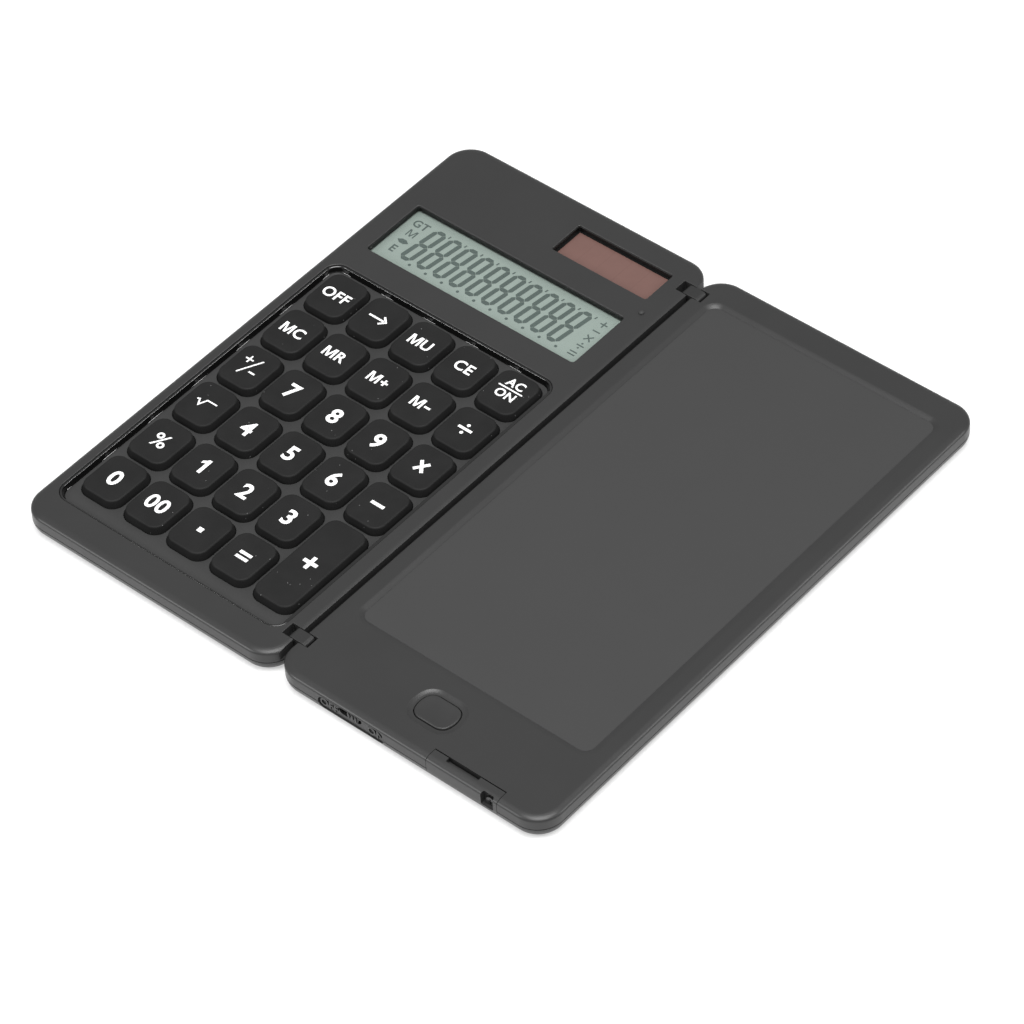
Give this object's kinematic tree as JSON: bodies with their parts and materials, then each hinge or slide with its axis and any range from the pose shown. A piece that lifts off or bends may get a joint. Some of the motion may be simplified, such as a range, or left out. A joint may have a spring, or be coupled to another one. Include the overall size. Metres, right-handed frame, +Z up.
{
  "type": "folding pocket calculator",
  "caption": "Folding pocket calculator that opens flat: keypad, display and solar cell on one half, an erasable writing tablet with button and slide switch on the other.",
  "frame": {"origin": "on the surface it lies on, under the fold line at mid length, with the part lying open", "axes": "+X from the fold line across the writing tablet, +Y towards the back, where the solar cell is, +Z up"},
  "size_m": [0.155, 0.156, 0.0071],
  "materials": {
    "case_plastic": "fine matte spark texture, charcoal black",
    "gloss_bezel": "polished black",
    "keypad_sheet": "smooth satin charcoal sheet between the keys",
    "key_rubber": "soft-touch black",
    "legend_ink": "white screen print",
    "clear_window": "clear, polished",
    "display_glass": "grey-green reflective display",
    "display_ink": "dark display segments",
    "solar_glass": "amorphous cell, brown under glass",
    "connector_rubber": "striped elastomer",
    "circuit_board": "green solder mask",
    "nickel_steel": "nickel plated",
    "contact_brass": "plated spring strip",
    "link_plastic": "satin black",
    "writing_film": "satin liquid-crystal film, dark grey",
    "button_plastic": "satin black",
    "inner_plastic": "plain moulded",
    "bumper_rubber": "plain"
  },
  "bodies": {
    "calculator": {"calc_top_case": "case_plastic", "calc_bottom_case": "case_plastic", "keypad_bezel": "gloss_bezel", "keypad_web": "keypad_sheet", "lcd_window": "clear_window", "lcd_panel": "display_glass", "lcd_connector": "connector_rubber", "solar_cell": "solar_glass", "calc_circuit_board": "circuit_board", "calc_button_cell": "nickel_steel", "calc_cell_door": "case_plastic", "calc_case_screws": "nickel_steel", "calc_hinge_pins": "nickel_steel", "closing_bumper": "bumper_rubber"},
    "hinge_links": {"hinge_link_front": "link_plastic", "hinge_link_rear": "link_plastic"},
    "tablet": {"tablet_top_case": "case_plastic", "tablet_bottom_case": "case_plastic", "writing_film": "writing_film", "film_backing": "inner_plastic", "tablet_circuit_board": "circuit_board", "lock_switch_body": "inner_plastic", "erase_switch": "nickel_steel", "tablet_cell_contacts": "contact_brass", "tablet_case_screws": "nickel_steel", "tablet_hinge_pins": "nickel_steel"},
    "erase_button": {"erase_button": "button_plastic"},
    "lock_slider": {"lock_slider": "button_plastic"},
    "battery_tray": {"battery_tray": "case_plastic", "tablet_coin_cell": "nickel_steel", "tray_screw": "nickel_steel"},
    "key_off": {"key_off": "key_rubber"},
    "key_backspace": {"key_backspace": "key_rubber"},
    "key_mu": {"key_mu": "key_rubber"},
    "key_ce": {"key_ce": "key_rubber"},
    "key_ac_on": {"key_ac_on": "key_rubber"},
    "key_mc": {"key_mc": "key_rubber"},
    "key_mr": {"key_mr": "key_rubber"},
    "key_m_plus": {"key_m_plus": "key_rubber"},
    "key_m_minus": {"key_m_minus": "key_rubber"},
    "key_divide": {"key_divide": "key_rubber"},
    "key_sign": {"key_sign": "key_rubber"},
    "key_7": {"key_7": "key_rubber"},
    "key_8": {"key_8": "key_rubber"},
    "key_9": {"key_9": "key_rubber"},
    "key_multiply": {"key_multiply": "key_rubber"},
    "key_root": {"key_root": "key_rubber"},
    "key_4": {"key_4": "key_rubber"},
    "key_5": {"key_5": "key_rubber"},
    "key_6": {"key_6": "key_rubber"},
    "key_minus": {"key_minus": "key_rubber"},
    "key_percent": {"key_percent": "key_rubber"},
    "key_1": {"key_1": "key_rubber"},
    "key_2": {"key_2": "key_rubber"},
    "key_3": {"key_3": "key_rubber"},
    "key_plus": {"key_plus": "key_rubber"},
    "key_0": {"key_0": "key_rubber"},
    "key_00": {"key_00": "key_rubber"},
    "key_point": {"key_point": "key_rubber"},
    "key_equals": {"key_equals": "key_rubber"}
  },
  "joints": [
    {"name": "link_fold", "type": "hinge", "parent": "calculator", "child": "hinge_links", "pos_m": [-0.0015, 0, 0.00535], "axis": [0, -1, 0], "range_deg": [0, 90]},
    {"name": "tablet_fold", "type": "hinge", "parent": "hinge_links", "child": "tablet", "pos_m": [0.0015, 0, 0.00535], "axis": [0, -1, 0], "range_deg": [0, 90]},
    {"name": "battery_tray_slide", "type": "slide", "parent": "tablet", "child": "battery_tray", "axis": [0, -1, 0], "range_m": [0, 0.016]},
    {"name": "lock_slider_slide", "type": "slide", "parent": "tablet", "child": "lock_slider", "axis": [1, 0, 0], "range_m": [-0.002, 0]},
    {"name": "erase_button_press", "type": "slide", "parent": "tablet", "child": "erase_button", "axis": [0, 0, -1], "range_m": [0, 0.0005], "stiffness_N_per_m": 400},
    {"name": "key_off_press", "type": "slide", "parent": "calculator", "child": "key_off", "axis": [0, 0, -1], "range_m": [0, 0.0008], "stiffness_N_per_m": 300},
    {"name": "key_backspace_press", "type": "slide", "parent": "calculator", "child": "key_backspace", "axis": [0, 0, -1], "range_m": [0, 0.0008], "stiffness_N_per_m": 300},
    {"name": "key_mu_press", "type": "slide", "parent": "calculator", "child": "key_mu", "axis": [0, 0, -1], "range_m": [0, 0.0008], "stiffness_N_per_m": 300},
    {"name": "key_ce_press", "type": "slide", "parent": "calculator", "child": "key_ce", "axis": [0, 0, -1], "range_m": [0, 0.0008], "stiffness_N_per_m": 300},
    {"name": "key_ac_on_press", "type": "slide", "parent": "calculator", "child": "key_ac_on", "axis": [0, 0, -1], "range_m": [0, 0.0008], "stiffness_N_per_m": 300},
    {"name": "key_mc_press", "type": "slide", "parent": "calculator", "child": "key_mc", "axis": [0, 0, -1], "range_m": [0, 0.0008], "stiffness_N_per_m": 300},
    {"name": "key_mr_press", "type": "slide", "parent": "calculator", "child": "key_mr", "axis": [0, 0, -1], "range_m": [0, 0.0008], "stiffness_N_per_m": 300},
    {"name": "key_m_plus_press", "type": "slide", "parent": "calculator", "child": "key_m_plus", "axis": [0, 0, -1], "range_m": [0, 0.0008], "stiffness_N_per_m": 300},
    {"name": "key_m_minus_press", "type": "slide", "parent": "calculator", "child": "key_m_minus", "axis": [0, 0, -1], "range_m": [0, 0.0008], "stiffness_N_per_m": 300},
    {"name": "key_divide_press", "type": "slide", "parent": "calculator", "child": "key_divide", "axis": [0, 0, -1], "range_m": [0, 0.0008], "stiffness_N_per_m": 300},
    {"name": "key_sign_press", "type": "slide", "parent": "calculator", "child": "key_sign", "axis": [0, 0, -1], "range_m": [0, 0.0008], "stiffness_N_per_m": 300},
    {"name": "key_7_press", "type": "slide", "parent": "calculator", "child": "key_7", "axis": [0, 0, -1], "range_m": [0, 0.0008], "stiffness_N_per_m": 300},
    {"name": "key_8_press", "type": "slide", "parent": "calculator", "child": "key_8", "axis": [0, 0, -1], "range_m": [0, 0.0008], "stiffness_N_per_m": 300},
    {"name": "key_9_press", "type": "slide", "parent": "calculator", "child": "key_9", "axis": [0, 0, -1], "range_m": [0, 0.0008], "stiffness_N_per_m": 300},
    {"name": "key_multiply_press", "type": "slide", "parent": "calculator", "child": "key_multiply", "axis": [0, 0, -1], "range_m": [0, 0.0008], "stiffness_N_per_m": 300},
    {"name": "key_root_press", "type": "slide", "parent": "calculator", "child": "key_root", "axis": [0, 0, -1], "range_m": [0, 0.0008], "stiffness_N_per_m": 300},
    {"name": "key_4_press", "type": "slide", "parent": "calculator", "child": "key_4", "axis": [0, 0, -1], "range_m": [0, 0.0008], "stiffness_N_per_m": 300},
    {"name": "key_5_press", "type": "slide", "parent": "calculator", "child": "key_5", "axis": [0, 0, -1], "range_m": [0, 0.0008], "stiffness_N_per_m": 300},
    {"name": "key_6_press", "type": "slide", "parent": "calculator", "child": "key_6", "axis": [0, 0, -1], "range_m": [0, 0.0008], "stiffness_N_per_m": 300},
    {"name": "key_minus_press", "type": "slide", "parent": "calculator", "child": "key_minus", "axis": [0, 0, -1], "range_m": [0, 0.0008], "stiffness_N_per_m": 300},
    {"name": "key_percent_press", "type": "slide", "parent": "calculator", "child": "key_percent", "axis": [0, 0, -1], "range_m": [0, 0.0008], "stiffness_N_per_m": 300},
    {"name": "key_1_press", "type": "slide", "parent": "calculator", "child": "key_1", "axis": [0, 0, -1], "range_m": [0, 0.0008], "stiffness_N_per_m": 300},
    {"name": "key_2_press", "type": "slide", "parent": "calculator", "child": "key_2", "axis": [0, 0, -1], "range_m": [0, 0.0008], "stiffness_N_per_m": 300},
    {"name": "key_3_press", "type": "slide", "parent": "calculator", "child": "key_3", "axis": [0, 0, -1], "range_m": [0, 0.0008], "stiffness_N_per_m": 300},
    {"name": "key_plus_press", "type": "slide", "parent": "calculator", "child": "key_plus", "axis": [0, 0, -1], "range_m": [0, 0.0008], "stiffness_N_per_m": 300},
    {"name": "key_0_press", "type": "slide", "parent": "calculator", "child": "key_0", "axis": [0, 0, -1], "range_m": [0, 0.0008], "stiffness_N_per_m": 300},
    {"name": "key_00_press", "type": "slide", "parent": "calculator", "child": "key_00", "axis": [0, 0, -1], "range_m": [0, 0.0008], "stiffness_N_per_m": 300},
    {"name": "key_point_press", "type": "slide", "parent": "calculator", "child": "key_point", "axis": [0, 0, -1], "range_m": [0, 0.0008], "stiffness_N_per_m": 300},
    {"name": "key_equals_press", "type": "slide", "parent": "calculator", "child": "key_equals", "axis": [0, 0, -1], "range_m": [0, 0.0008], "stiffness_N_per_m": 300}
  ]
}
